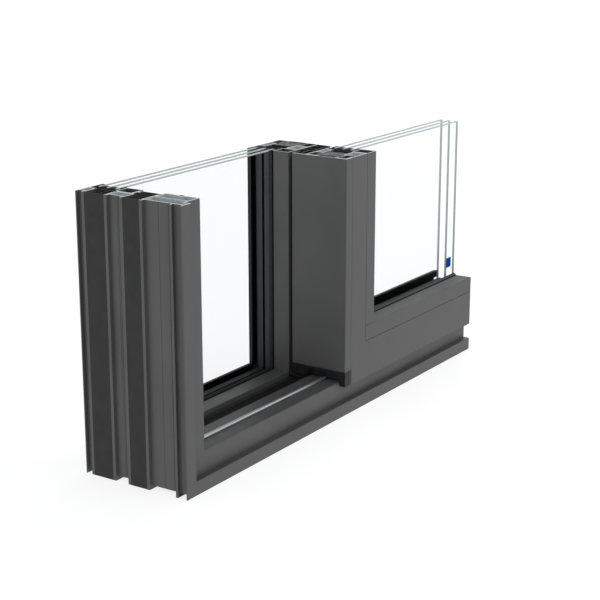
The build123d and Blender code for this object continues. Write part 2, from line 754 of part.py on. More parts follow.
# The fixed hook stands on the floor of the gap, on a hollow body against the fixed stile
body_front = LEAF_DEPTH + HOOK_PLATE + RUN_GAP - FIXED_LEAF_FRONT
hook_back = HOOK_BEHIND - HOOK_GAP - FIXED_LEAF_FRONT
hook_end = LEAF_WIDTH - WALL - HOOK_ARM - HOOK_GAP
with BuildPart() as fixed_hook:
    with BuildSketch(FIXED_STILE.offset(GAP_FLOOR - SILL_TOP)):
        area((body_front, HOOK_BODY_FROM), (0, HOOK_BODY_TO))
        chambers((body_front, HOOK_BODY_FROM), (0, HOOK_BODY_TO), webs=2)
        area((hook_back - HOOK_ARM, HOOK_BODY_TO), (hook_back, hook_end))
    extrude(amount=HEIGHT - GAP_FLOOR)
save(fixed_hook, "fixed_interlock")


# Triple glazing of both leaves
fixed_glass = (SILL_SHIFT + GLASS_EDGE, FIXED_EDGE - GLASS_EDGE, SILL_SHIFT + GLASS_EDGE)
sash_glass = (MEETING_EDGE + GLASS_EDGE, LENGTH, SASH_REBATE + SASH_PACKER)


def pane_front(index):
    """How deep a pane's room side face lies in its leaf."""
    return FIRST_PANE + index * (GLASS + CAVITY)


def glaze(leaf, front, left, right, bottom):
    """Makes the three panes of a leaf."""
    for index, side in enumerate(PANES):
        start = front + pane_front(index)
        with BuildPart() as pane:
            box((left, start, bottom), (right, start + GLASS, HEIGHT))
        save(pane, f"{leaf}_{side}_pane")


glaze("fixed", FIXED_LEAF_FRONT, *fixed_glass)
glaze("sash", 0, *sash_glass)


def spacer_frame(leaf, front, left, right, bottom, closed):
    """Makes the edge seals in both cavities of a leaf, with one at the right where it is closed."""
    with BuildPart() as spacers:
        for index in range(len(PANES) - 1):
            start = front + pane_front(index) + GLASS
            end = start + CAVITY
            clear_to = right - EDGE_SEAL if closed else right
            box((left, start, bottom), (right, end, HEIGHT))
            box((left + EDGE_SEAL, start, bottom + EDGE_SEAL), (clear_to, end, HEIGHT), Mode.SUBTRACT)
    save(spacers, f"{leaf}_spacers")


spacer_frame("fixed", FIXED_LEAF_FRONT, *fixed_glass, True)
spacer_frame("sash", 0, *sash_glass, False)


def packers(leaf, front, floor, left, right, bottom):
    """Makes the packers that carry the panes of a leaf, one near either end."""
    near = front + BEAD_DEPTH
    far = front + FLANGE_FRONT
    with BuildPart() as blocks:
        for place in (left + PACKER_INSET, right - PACKER_INSET - PACKER_LENGTH):
            box((place, near, floor), (place + PACKER_LENGTH, far, bottom))
    save(blocks, f"{leaf}_packers")


packers("fixed", FIXED_LEAF_FRONT, REBATE_FLOOR, *fixed_glass)
packers("sash", 0, SASH_REBATE, *sash_glass)

# Roller carriage in the sash rail, standing on the running rail
roller_centre = RAIL_TOP + SEAT_GAP + ROLLER_RADIUS
half_length = CARRIAGE_LENGTH / 2
half_width = CARRIAGE_WIDTH / 2
roller_places = [CARRIAGE_PLACE - ROLLER_SPACING / 2, CARRIAGE_PLACE + ROLLER_SPACING / 2]
with BuildPart() as carriage:
    box(
        (CARRIAGE_PLACE - half_length, RAIL_PLACE - half_width, NOTCH_TOP),
        (CARRIAGE_PLACE + half_length, RAIL_PLACE + half_width, NOTCH_TOP + CARRIAGE_HEIGHT),
    )
    inside = half_width - CARRIAGE_WALL
    box(
        (CARRIAGE_PLACE - half_length, RAIL_PLACE - inside, NOTCH_TOP),
        (CARRIAGE_PLACE + half_length, RAIL_PLACE + inside, NOTCH_TOP + CARRIAGE_HEIGHT - CARRIAGE_WALL),
        Mode.SUBTRACT,
    )
    for place in roller_places:
        with BuildSketch(RAIL_MIDDLE):
            with Locations((place, -roller_centre)):
                Circle(AXLE_RADIUS)
        extrude(amount=half_width, both=True)
save(carriage, "roller_carriage")

with BuildPart() as rollers:
    for place in roller_places:
        with BuildSketch(RAIL_MIDDLE):
            with Locations((place, -roller_centre)):
                Circle(ROLLER_RADIUS)
                Circle(AXLE_RADIUS + SEAT_GAP, mode=Mode.SUBTRACT)
        extrude(amount=ROLLER_WIDTH / 2, both=True)
save(rollers, "rollers")
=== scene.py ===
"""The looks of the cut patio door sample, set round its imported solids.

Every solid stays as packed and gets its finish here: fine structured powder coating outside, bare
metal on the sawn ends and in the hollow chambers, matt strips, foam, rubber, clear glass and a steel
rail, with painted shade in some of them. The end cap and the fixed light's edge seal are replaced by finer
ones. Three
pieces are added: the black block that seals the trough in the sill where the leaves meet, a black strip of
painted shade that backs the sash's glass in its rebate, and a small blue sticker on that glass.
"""

import itertools
import math

import bmesh
import bpy
from mathutils import Matrix, Vector


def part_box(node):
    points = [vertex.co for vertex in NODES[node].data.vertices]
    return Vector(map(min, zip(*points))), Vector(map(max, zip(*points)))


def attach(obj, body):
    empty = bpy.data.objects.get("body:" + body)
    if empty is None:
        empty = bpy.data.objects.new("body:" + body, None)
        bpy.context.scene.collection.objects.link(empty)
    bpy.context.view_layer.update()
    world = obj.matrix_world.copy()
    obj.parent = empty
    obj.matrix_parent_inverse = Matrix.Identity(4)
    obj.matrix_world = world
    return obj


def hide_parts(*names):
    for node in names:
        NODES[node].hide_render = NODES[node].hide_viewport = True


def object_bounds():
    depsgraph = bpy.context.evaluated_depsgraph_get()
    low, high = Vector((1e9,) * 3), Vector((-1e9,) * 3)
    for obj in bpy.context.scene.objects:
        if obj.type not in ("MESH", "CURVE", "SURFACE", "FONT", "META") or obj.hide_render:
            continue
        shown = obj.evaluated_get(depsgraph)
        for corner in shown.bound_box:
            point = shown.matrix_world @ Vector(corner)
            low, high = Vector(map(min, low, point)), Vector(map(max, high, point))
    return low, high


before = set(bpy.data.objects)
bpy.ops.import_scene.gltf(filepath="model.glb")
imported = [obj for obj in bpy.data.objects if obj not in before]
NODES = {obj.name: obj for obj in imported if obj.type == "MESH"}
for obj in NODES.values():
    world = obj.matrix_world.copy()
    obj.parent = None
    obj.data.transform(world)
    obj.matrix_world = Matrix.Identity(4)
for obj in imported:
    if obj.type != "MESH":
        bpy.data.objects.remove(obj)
CAD_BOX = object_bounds()
LOW, HIGH = CAD_BOX

MM = 0.001
RIGHT = 0
BACK = 1
UP = 2

# How near to a plane counts as on it, in a material and in a mesh, and how corners are rounded to match
HAIR = 0.2 * MM
ON_PLANE = 0.02 * MM
PLACES = 6

# How much of a face's normal lies along an axis that the face looks along
FACING = 0.5

# The camera, at the photograph's viewing angle
CAMERA_PLACE = (-1.86255, -1.24310, 0.80230)
CAMERA_TURN = 56.2886
CAMERA_TILT = 15.7440
CAMERA_LENS = 89.384
CAMERA_SENSOR = 36.0
FROM_STRAIGHT_DOWN = 90

# The studio's floor: pale, with a little glow of its own
FLOOR_SIDE = 60.0
FLOOR_CELLS = 4
FLOOR_COLOUR = (0.36, 0.36, 0.36, 1)
FLOOR_GLOW = 0.79

# The studio's sky: brighter low down than overhead, and how steep a direction is where it starts to dim
SKY_LOW = (1, 1, 1, 1)
SKY_OVERHEAD = (0.26, 0.27, 0.28, 1)
SKY_BEND = 0.2

# The studio's soft boxes: name, place, power and side
SOFT_BOXES = (
    ("key", (0.4, -2.2, 3.0), 15.0, 1.6),
    ("fill", (3.2, 0.4, 1.6), 14.0, 1.5),
)

# How many clear faces a line of sight may pass through: both leaves overlap when the sash is open
CLEAR_FACES = 40

# Colours of the finishes
WHITE = (1, 1, 1, 1)
COAT = (0.077, 0.077, 0.078, 1)
COAT_LIGHT = (0.091, 0.091, 0.092, 1)
SAWN_DARK = (0.45, 0.46, 0.47, 1)
SAWN_BRIGHT = (1.0, 1.0, 1.0, 1)
MILL_DARK = (0.48, 0.53, 0.55, 1)
MILL_BRIGHT = (0.74, 0.80, 0.82, 1)
POLYAMIDE = (0.036, 0.036, 0.037, 1)
POLYAMIDE_CUT = (0.10, 0.10, 0.10, 1)
# Painted shade: the sill strips' colour in the front of the trough, where shade falls
POLYAMIDE_SHADED = (0.013, 0.013, 0.013, 1)
RUBBER_BLOOM = (0.042, 0.042, 0.041, 1)
# Painted highlight: a lighter copy of the gasket rubber for the sash's gaskets, which stand in more light
RUBBER_LIT = (0.105, 0.105, 0.106, 1)
# Painted shade: jet black for a gasket's groove and for its weather side faces seen through the glass
RUBBER_SHADE = (0.001, 0.001, 0.001, 1)
SEALANT = (0.052, 0.055, 0.061, 1)
SEALANT_BONDED = (0.001, 0.001, 0.001, 1)
PLASTIC = (0.010, 0.010, 0.011, 1)
PLASTIC_GREY = (0.045, 0.045, 0.047, 1)
# Painted shade: the black gap round a foam core in its chamber
FOAM_GAP_SHADE = (0.005, 0.005, 0.005, 1)
FOAM_DARK = (0.018, 0.018, 0.019, 1)
FOAM_LIGHT = (0.46, 0.46, 0.47, 1)
RAIL_STEEL = (0.70, 0.75, 0.77, 1)
CARRIAGE_STEEL = (0.45, 0.47, 0.50, 1)
GLASS_TINT = (0.986, 0.9875, 0.989, 1)
GLASS_EDGE_DARK = (0.34, 0.40, 0.41, 1)
GLASS_EDGE_LIGHT = (0.62, 0.68, 0.69, 1)
# Painted shade: the black of a pane's rim where it is hidden in the frame
GLASS_RIM_SHADE = (0.001, 0.001, 0.001, 1)
STICKER_BLUE = (0.001, 0.060, 0.230, 1)

# How much lighter or darker than its colour a finish is in patches
PLASTIC_PATCH = 1.35
TORN_PATCH = 0.3
BLOOM_PATCH = 0.64
SEALANT_PATCH = 1.3
STEEL_PATCH = 0.75
FILM_PATCH = 1.3
FLOOR_PATCH = 0.985

# How fine each pattern is: its cells to a metre, or to a metre along x, y and z where it runs in streaks
COAT_FLECKS = 900.0
COAT_CLOUDS = 9.0
COAT_PIMPLES = 2600.0
MILL_STREAKS = (900.0, 900.0, 12.0)
SAW_STREAKS = (2500.0, 260.0, 2500.0)
SAW_GRAIN = 750.0
PLASTIC_GRAIN = 1500.0
PLASTIC_CLOUDS = 60.0
BLOOM_GRAIN = 420.0
RUBBER_GRAIN = 2200.0
SEALANT_CLOUDS = 60.0
SEALANT_GRAIN = 900.0
FOAM_CELLS = 480.0
FOAM_BEADS = 360.0
RAIL_STREAKS = (20.0, 2600.0, 2600.0)
CARRIAGE_STREAKS = (40.0, 900.0, 900.0)
GROUND_GRAIN = 500.0
FILM_GRAIN = 1800.0
FLOOR_CLOUDS = 0.7

# How much fine detail a pattern holds, and how strongly that detail shows
PLAIN = 2.0
FINE = 3.0
FINEST = 4.0
SOFT = 0.5
CLEAR = 0.6
CRISP = 0.7
HARSH = 0.8

# How much of one pattern goes into another
FLECK_SHARE = 0.4
PIMPLE_FLECK_SHARE = 0.5
SCRATCH_SHARE = 0.4
CELL_SHARE = 0.35

# The part of a pattern's range that a finish spreads over its own
WHOLE = (0.0, 1.0)
WIDE = (0.2, 0.8)
MIDDLE = (0.3, 0.7)
COAT_SPAN = (0.35, 0.65)
SAW_SPAN = (0.56, 0.84)
BLOOM_SPAN = (0.4, 0.75)
FOAM_SPAN = (0.60, 0.84)

# How rough each finish is: from the lowest to the highest parts of its pattern, where it varies
COAT_ROUGHNESS = (0.42, 0.54)
SAWN_ROUGHNESS = (0.4, 0.22)
POLYAMIDE_ROUGHNESS = (0.6, 0.8)
MOULDED_ROUGHNESS = (0.38, 0.55)
PACKER_ROUGHNESS = (0.5, 0.7)
RUBBER_ROUGHNESS = (0.5, 0.66)
SEALANT_ROUGHNESS = (0.5, 0.7)
STEEL_ROUGHNESS = (0.36, 0.5)
FILM_ROUGHNESS = (0.35, 0.5)
FOAM_ROUGHNESS = 0.9
PANE_ROUGHNESS = 0.02
GROUND_ROUGHNESS = 0.3
FLOOR_ROUGHNESS = 0.9

# How strongly each finish mirrors, and how metallic the hollow chambers look
COAT_SHEEN = 0.3
POLYAMIDE_SHEEN = 0.05
PLASTIC_SHEEN = 0.25
RUBBER_SHEEN = 0.06
SEALANT_SHEEN = 0.2
GROUND_SHEEN = 0.2
FILM_SHEEN = 0.0
FLOOR_SHEEN = 0.1
MILL_METAL = 0.3

# How strongly the pane's faces mirror: float glass with an anti-reflective coating
COATED_GLASS = 1.04

# How deep the texture of each finish is
COAT_DEPTH = 0.03 * MM
PLASTIC_DEPTH = 0.03 * MM
RUBBER_DEPTH = 0.02 * MM
SEALANT_DEPTH = 0.05 * MM
FOAM_DEPTH = 0.35 * MM
STEEL_DEPTH = 0.02 * MM
GROUND_DEPTH = 0.02 * MM
FILM_DEPTH = 0.01 * MM

# How far the ground edge reaches onto the faces of a pane, at the sawn ends
GLASS_ARRIS = 1.4 * MM

# How far the painted shade in the groove of a room side gasket reaches back from its glazing bead
GROOVE_REACH = 2.0 * MM

# How far back the painted shade in the trough between the running rail and the fixed light's bead reaches
TROUGH_BACK = 7.5 * MM

# How far the painted shade of the gap round a foam core reaches in from its outline
FOAM_SHADE_REACH = 2.4 * MM

# The sticker on the room side of the sash's glass, near the cut end
STICKER_SIDE = 17.2 * MM
STICKER_THICK = 0.15 * MM
STICKER_ROUND = 1.2 * MM
STICKER_INSET = 12.7 * MM
STICKER_RISE = 17.9 * MM
QUARTER_STEPS = 6

# The rounded edges of a moulded form: radius, steps and profile, and the angles that are flat and sharp
MOULDED_ROUND = 0.35 * MM
MOULDED_STEPS = 2
MOULDED_PROFILE = 0.5
FLAT_ANGLE = math.radians(1)
SHARP_ANGLE = 0.5

# The moulded end cap: its front leg, the arch behind it, the plate set into the arch, its tail
CAP_LEG = 9.6 * MM
CAP_ARCH_BACK = 68.0 * MM
CAP_ARCH_DROP = 5.4 * MM
CAP_PLATE_FROM = 3.6 * MM
CAP_PLATE_TO = 5.4 * MM
CAP_TAIL_FROM = 75.0 * MM
CAP_TAIL_THICK = 6.2 * MM
CAP_CLEAR = 0.8 * MM

# How wide the edge seal between the fixed light's panes is
SEAL_WIDTH = 7.5 * MM

# A black strip of painted shade that backs the sash's glass below its weather gasket, cut back from the
# sawn end
STRIP_HEIGHT = 9.0 * MM
STRIP_HEEL = 2.5 * MM
STRIP_DEEP = 5.0 * MM
STRIP_CUT_BACK = 13.0 * MM
STRIP_INSET = 9.0 * MM

# The block that seals the trough between the leaves: its place by the cap's tail, and its steps
BLOCK_BEHIND = 1.0 * MM
BLOCK_LENGTH = 10.6 * MM
BLOCK_FRONT = -14.5 * MM
BLOCK_STEP = 4.5 * MM
BLOCK_CLEAR = 0.5 * MM
BLOCK_STOP = 0.7 * MM

# The sockets of the node that mixes, which has a pair for each kind of value
MIX_NUMBERS = (2, 3)
MIX_COLOURS = (6, 7)
MIXED_COLOUR = 2

# The corners of a square, in order round it
SQUARE = ((0, 0), (1, 0), (1, 1), (0, 1))

# The coated profiles, and the axis along which each one's chambers show their bare metal
COATED = {
    "jamb_front_profile": UP,
    "jamb_middle_profile": UP,
    "jamb_rear_profile": UP,
    "jamb_bead": None,
    "sill_front_profile": RIGHT,
    "sill_middle_profile": RIGHT,
    "sill_rear_profile": RIGHT,
    "sill_bead": None,
    "threshold_cover": None,
    "fixed_stile_room_profile": UP,
    "fixed_stile_weather_profile": UP,
    "fixed_stile_bead": None,
    "sash_stile_room_profile": UP,
    "sash_stile_weather_profile": UP,
    "sash_stile_bead": None,
    "sash_stile_cover": None,
    "sash_rail_room_profile": RIGHT,
    "sash_rail_weather_profile": RIGHT,
    "sash_rail_bead": None,
}

# The foam cores, and the axis along which each one runs
FOAM = {"fixed_stile_foam": UP, "sash_stile_foam": UP, "sash_rail_foam": RIGHT}


class Finish:
    """One procedural material, put together node by node."""

    def __init__(self, name):
        self.material = bpy.data.materials.new(name)
        self.material.use_nodes = True
        self.tree = self.material.node_tree
        self.tree.nodes.clear()
        self.output = self.tree.nodes.new("ShaderNodeOutputMaterial")
        self.place = self.node("TexCoord")["Object"]
        self.normal = self.node("NewGeometry")["Normal"]

    def node(self, kind, inputs=None, **settings):
        """Adds a node, sets it up and returns its outputs."""
        made = self.tree.nodes.new("ShaderNode" + kind)
        for setting, value in settings.items():
            setattr(made, setting, value)
        for socket, value in (inputs or {}).items():
            if isinstance(value, bpy.types.NodeSocket):
                self.tree.links.new(value, made.inputs[socket])
            else:
                made.inputs[socket].default_value = value
        return made.outputs

    def maths(self, operation, *values):
        """One step of arithmetic."""
        return self.node("Math", dict(enumerate(values)), operation=operation)[0]

    def vector(self, operation, *values):
        """One step of vector arithmetic."""
        return self.node("VectorMath", dict(enumerate(values)), operation=operation)[0]

    def parts(self, vector):
        """The three numbers of a vector."""
        return self.node("SeparateXYZ", {0: vector})

    def mix(self, share, low, high):
        """A colour between two others."""
        pair = dict(zip(MIX_COLOURS, (low, high)))
        return self.node("Mix", {0: share, **pair}, data_type="RGBA")[MIXED_COLOUR]

    def between(self, share, low, high):
        """A number between two others."""
        pair = dict(zip(MIX_NUMBERS, (low, high)))
        return self.node("Mix", {0: share, **pair}, data_type="FLOAT")[0]

    def blend(self, share, first, second):
        """A share of the second pattern added to the rest of the first."""
        rest = self.maths("MULTIPLY", first, 1 - share)
        return self.maths("ADD", rest, self.maths("MULTIPLY", second, share))

    def noise(self, scale, detail=PLAIN, strength=SOFT, place=None):
        """Cloudy noise from 0 to 1."""
        inputs = {"Vector": place or self.place, "Scale": scale, "Detail": detail, "Roughness": strength}
        return self.node("TexNoise", inputs)[0]

    def streaks(self, scales, detail=FINE):
        """Noise with its own scale along each axis, so that it runs in streaks."""
        return self.noise(1.0, detail, place=self.vector("MULTIPLY", self.place, scales))

    def span(self, value, limits, onto=WHOLE):
        """Maps a range of numbers onto another."""
        return self.node("MapRange", dict(enumerate((value, *limits, *onto))))[0]

    def bump(self, height, distance):
        """A normal roughened by a height."""
        return self.node("Bump", {"Height": height, "Distance": distance, "Strength": 1.0})[0]

    def principled(self, **inputs):
        """The main shader, with sockets named by words joined with underscores."""
        named = {key.replace("_", " "): value for key, value in inputs.items()}
        return self.node("BsdfPrincipled", named)[0]

    def show(self, shader):
        """Ends the material in this shader."""
        self.tree.links.new(shader, self.output.inputs["Surface"])
        return self.material

    def cut_face(self):
        """1 on the sawn faces at the top and at the right end, 0 elsewhere."""
        place, normal = self.parts(self.place), self.parts(self.normal)
        sawn = 0.0
        for axis in (UP, RIGHT):
            there = self.maths("GREATER_THAN", place[axis], HIGH[axis] - HAIR)
            facing = self.maths("GREATER_THAN", normal[axis], FACING)
            sawn = self.maths("MAXIMUM", sawn, self.maths("MULTIPLY", there, facing))
        return sawn

    def saw_marks(self):
        """Torn grain and fine parallel scratches across a sawn face."""
        scratches = self.maths("MULTIPLY", self.streaks(SAW_STREAKS), SCRATCH_SHARE)
        grain = self.noise(SAW_GRAIN, FINE, CRISP)
        return self.span(self.maths("ADD", scratches, grain), SAW_SPAN)

    def inside(self, boxes):
        """1 inside any of these boxes, 0 elsewhere."""
        found = 0.0
        for low, high in boxes:
            middle, half = (low + high) / 2, (high - low) / 2
            offset = self.vector("ABSOLUTE", self.vector("SUBTRACT", self.place, middle))
            share = self.parts(self.vector("DIVIDE", offset, half))
            furthest = self.maths("MAXIMUM", share[0], self.maths("MAXIMUM", share[1], share[2]))
            found = self.maths("MAXIMUM", found, self.maths("LESS_THAN", furthest, 1.0))
        return found


def scaled(colour, factor):
    """A colour made lighter or darker."""
    return tuple(c * factor for c in colour[:3]) + (1,)


def spread(loop):
    """The area of the rectangle round an outline."""
    wide = [max(c[a] for c in loop) - min(c[a] for c in loop) for a in range(2)]
    return wide[0] * wide[1]


def end_loops(node, axis):
    """The closed outlines of a profile's cut end, as corners in the section, the outer one first."""
    mesh = NODES[node].data
    end = HIGH[axis]
    across = [a for a in range(3) if a != axis]
    uses = {}
    for face in mesh.polygons:
        corners = [mesh.vertices[v].co for v in face.vertices]
        if all(abs(c[axis] - end) < ON_PLANE for c in corners):
            keys = [tuple(round(c[a], PLACES) for a in across) for c in corners]
            for start, stop in zip(keys, keys[1:] + keys[:1]):
                edge = frozenset((start, stop))
                uses[edge] = uses.get(edge, 0) + 1
    beside = {}
    for edge in (e for e, count in uses.items() if count == 1):
        for corner in edge:
            beside.setdefault(corner, set()).update(edge - {corner})
    loops = []
    while beside:
        corner = min(beside)
        loop = []
        while corner is not None:
            loop.append(corner)
            nearby = beside.pop(corner)
            corner = next((c for c in sorted(nearby) if c in beside), None)
        loops.append(loop)
    return sorted(loops, key=lambda loop: -spread(loop))


def slabs(loop):
    """The upright slabs that an outline is made of, each as its two sides, bottom and top."""
    cuts = sorted({c[0] for c in loop})
    found = []
    for start, stop in zip(cuts, cuts[1:]):
        middle = (start + stop) / 2
        crossed = []
        for a, b in zip(loop, loop[1:] + loop[:1]):
            if min(a[0], b[0]) < middle < max(a[0], b[0]):
                crossed.append(a[1] + (b[1] - a[1]) * (middle - a[0]) / (b[0] - a[0]))
        found.append((start, stop, min(crossed), max(crossed)))
    return found


def bar_box(axis, start, stop, bottom, top):
    """The box along an axis, from end to end of the sample, whose section has these sides."""
    low, high = Vector(LOW), Vector(HIGH)
    first, second = [a for a in range(3) if a != axis]
    low[first], high[first] = start, stop
    low[second], high[second] = bottom, top
    high[axis] += HAIR
    return low, high


def chambers(node, axis):
    """Boxes that hold a profile's hollow chambers, from end to end."""
    boxes = []
    for loop in end_loops(node, axis)[1:]:
        for start, stop, bottom, top in slabs(loop):
            boxes.append(bar_box(axis, start - HAIR, stop + HAIR, bottom - HAIR, top + HAIR))
    return boxes


def core(node, axis):
    """Boxes that hold a foam core without its margin of painted shade."""
    found = slabs(end_loops(node, axis)[0])
    boxes = []
    for start, stop, bottom, top in found:
        start += FOAM_SHADE_REACH if start == found[0][0] else -HAIR
        stop -= FOAM_SHADE_REACH if stop == found[-1][1] else -HAIR
        boxes.append(bar_box(axis, start, stop, bottom + FOAM_SHADE_REACH, top - FOAM_SHADE_REACH))
    return boxes


def coated(name, hollow=()):
    """Fine structured powder coating, with sawn metal on the cut ends and mill finish in the chambers."""
    f = Finish(name)
    fleck = f.noise(COAT_FLECKS, FINE, CRISP)
    tone = f.blend(FLECK_SHARE, f.noise(COAT_CLOUDS, FINE), fleck)
    coat = f.mix(f.span(tone, COAT_SPAN), COAT, COAT_LIGHT)
    mill = f.mix(f.streaks(MILL_STREAKS), MILL_DARK, MILL_BRIGHT)
    saw = f.saw_marks()
    cut = f.cut_face()
    within = f.inside(hollow)
    texture = f.blend(PIMPLE_FLECK_SHARE, f.noise(COAT_PIMPLES), fleck)
    return f.show(f.principled(
        Base_Color=f.mix(cut, f.mix(within, coat, mill), f.mix(saw, SAWN_DARK, SAWN_BRIGHT)),
        Metallic=f.maths("MAXIMUM", cut, f.maths("MULTIPLY", within, MILL_METAL)),
        Roughness=f.between(cut, f.span(fleck, WIDE, COAT_ROUGHNESS), f.span(saw, WHOLE, SAWN_ROUGHNESS)),
        Specular_IOR_Level=COAT_SHEEN,
        Normal=f.bump(f.between(cut, texture, saw), COAT_DEPTH),
    ))


def matt_plastic(name, colour, roughness, sheen=PLASTIC_SHEEN, sawn=None, trough=None):
    """Dull plastic with a fine grain, which may have another colour where it is sawn, and painted shade in
    the trough.
    """
    f = Finish(name)
    grain = f.noise(PLASTIC_GRAIN, FINE)
    cloud = f.noise(PLASTIC_CLOUDS, FINE)
    shade = f.mix(cloud, colour, scaled(colour, PLASTIC_PATCH))
    # Painted shade: the strips are darker in the front of the trough
    if trough:
        trough_shade = f.maths("LESS_THAN", f.parts(f.place)[BACK], TROUGH_BACK)
        shade = f.mix(trough_shade, shade, f.mix(cloud, trough, scaled(trough, PLASTIC_PATCH)))
    if sawn:
        torn = f.mix(f.saw_marks(), scaled(sawn, TORN_PATCH), sawn)
        shade = f.mix(f.cut_face(), shade, torn)
    return f.show(f.principled(
        Base_Color=shade,
        Roughness=f.span(grain, MIDDLE, roughness),
        Specular_IOR_Level=sheen,
        Normal=f.bump(f.maths("ADD", grain, cloud), PLASTIC_DEPTH),
    ))


def rubber(name, groove, middle, bloom_and_light=RUBBER_BLOOM):
    """Gasket rubber with a faint bloom, with painted shade: jet black in its groove and on its weather
    side faces that lie against a pane.
    """
    f = Finish(name)
    bloom = f.noise(BLOOM_GRAIN, FINEST, CLEAR)
    depth = f.parts(f.place)[BACK]
    weather = f.maths("GREATER_THAN", depth, middle)
    facing = f.maths("LESS_THAN", f.parts(f.normal)[BACK], -FACING)
    groove_shade = f.maths("LESS_THAN", depth, groove + GROOVE_REACH)
    # Painted shade: black in the groove and on the weather side faces that look into the glass
    black = f.maths("MAXIMUM", groove_shade, f.maths("MULTIPLY", weather, facing))
    shade = f.mix(f.span(bloom, BLOOM_SPAN), scaled(bloom_and_light, BLOOM_PATCH), bloom_and_light)
    return f.show(f.principled(
        Base_Color=f.mix(black, shade, RUBBER_SHADE),
        Roughness=f.span(bloom, MIDDLE, RUBBER_ROUGHNESS),
        Specular_IOR_Level=RUBBER_SHEEN,
        Normal=f.bump(f.noise(RUBBER_GRAIN), RUBBER_DEPTH),
    ))


def edge_seal():
    """Grey sealant with a fine grain, black where it is sawn and where the panes are bonded to it."""
    f = Finish("edge_seal")
    cloud = f.noise(SEALANT_CLOUDS, FINE)
    facing = f.maths("GREATER_THAN", f.maths("ABSOLUTE", f.parts(f.normal)[BACK]), FACING)
    bonded = f.maths("MAXIMUM", facing, f.cut_face())
    return f.show(f.principled(
        Base_Color=f.mix(bonded, f.mix(cloud, SEALANT, scaled(SEALANT, SEALANT_PATCH)), SEALANT_BONDED),
        Roughness=f.span(cloud, MIDDLE, SEALANT_ROUGHNESS),
        Specular_IOR_Level=SEALANT_SHEEN,
        Normal=f.bump(f.noise(SEALANT_GRAIN), SEALANT_DEPTH),
    ))


def foam(name, inner):
    """Cut insulating foam with open cells, inside a black margin of painted shade for the gap round the
    core.
    """
    f = Finish(name)
    cells = f.node("TexVoronoi", {"Vector": f.place, "Scale": FOAM_CELLS})[0]
    beads = f.noise(FOAM_BEADS, FINEST, HARSH)
    torn = f.span(f.maths("ADD", f.maths("MULTIPLY", cells, CELL_SHARE), beads), FOAM_SPAN)
    return f.show(f.principled(
        # Painted shade: black round the core, where the chamber's gap would be dark
        Base_Color=f.mix(f.inside(inner), FOAM_GAP_SHADE, f.mix(torn, FOAM_DARK, FOAM_LIGHT)),
        Roughness=FOAM_ROUGHNESS,
        Normal=f.bump(torn, FOAM_DEPTH),
    ))


def steel(name, colour, scales):
    """Drawn steel with fine lines along its length."""
    f = Finish(name)
    lines = f.streaks(scales, FINEST)
    return f.show(f.principled(
        Base_Color=f.mix(lines, scaled(colour, STEEL_PATCH), colour),
        Metallic=1.0,
        Roughness=f.span(lines, MIDDLE, STEEL_ROUGHNESS),
        Normal=f.bump(lines, STEEL_DEPTH),
    ))


def glass():
    """Clear glass: seen through on its large faces, ground where it is cut, and black where its rims are
    hidden in the frame, as painted shade.
    """
    f = Finish("glass")
    outward = f.maths("ABSOLUTE", f.parts(f.normal)[BACK])
    edge = f.maths("LESS_THAN", outward, FACING)
    behind = f.node("NewGeometry")["Backfacing"]
    fresnel = f.node("Fresnel", {"IOR": f.between(behind, COATED_GLASS, 1 / COATED_GLASS)})[0]
    clear = f.node("BsdfTransparent", {"Color": GLASS_TINT})[0]
    mirror = f.node("BsdfGlossy", {"Color": WHITE, "Roughness": PANE_ROUGHNESS})[0]
    pane = f.node("MixShader", {0: fresnel, 1: clear, 2: mirror})[0]
    ground = f.noise(GROUND_GRAIN, FINE)
    cut = f.mix(ground, GLASS_EDGE_DARK, GLASS_EDGE_LIGHT)
    place = f.parts(f.place)
    top = f.maths("GREATER_THAN", place[UP], HIGH.z - GLASS_ARRIS)
    end = f.maths("GREATER_THAN", place[RIGHT], HIGH.x - HAIR)
    sawn = f.maths("MAXIMUM", top, end)
    # Painted shade: the rims that are not sawn are black
    rim = f.principled(
        Base_Color=f.mix(sawn, GLASS_RIM_SHADE, cut),
        Roughness=GROUND_ROUGHNESS,
        Specular_IOR_Level=GROUND_SHEEN,
        Normal=f.bump(ground, GROUND_DEPTH),
    )
    return f.show(f.node("MixShader", {0: f.maths("MAXIMUM", edge, sawn), 1: pane, 2: rim})[0])


def sticker_film():
    """Printed film with a soft sheen."""
    f = Finish("sticker_film")
    grain = f.noise(FILM_GRAIN, FINE)
    return f.show(f.principled(
        Base_Color=f.mix(grain, STICKER_BLUE, scaled(STICKER_BLUE, FILM_PATCH)),
        Roughness=f.span(grain, MIDDLE, FILM_ROUGHNESS),
        Specular_IOR_Level=FILM_SHEEN,
        Normal=f.bump(grain, FILM_DEPTH),
    ))


def studio_floor():
    """A wide pale floor that glows a little, so that the shadows on it stay soft."""
    mesh = bpy.data.meshes.new("floor")
    grid = bmesh.new()
    bmesh.ops.create_grid(grid, x_segments=FLOOR_CELLS, y_segments=FLOOR_CELLS, size=FLOOR_SIDE / 2)
    grid.to_mesh(mesh)
    grid.free()
    floor = bpy.data.objects.new("floor", mesh)
    floor.location.z = LOW.z
    bpy.context.scene.collection.objects.link(floor)
    f = Finish("floor")
    mesh.materials.append(f.show(f.principled(
        Base_Color=f.mix(f.noise(FLOOR_CLOUDS, FINE), scaled(FLOOR_COLOUR, FLOOR_PATCH), FLOOR_COLOUR),
        Roughness=FLOOR_ROUGHNESS,
        Specular_IOR_Level=FLOOR_SHEEN,
        Emission_Color=WHITE,
        Emission_Strength=FLOOR_GLOW,
    )))


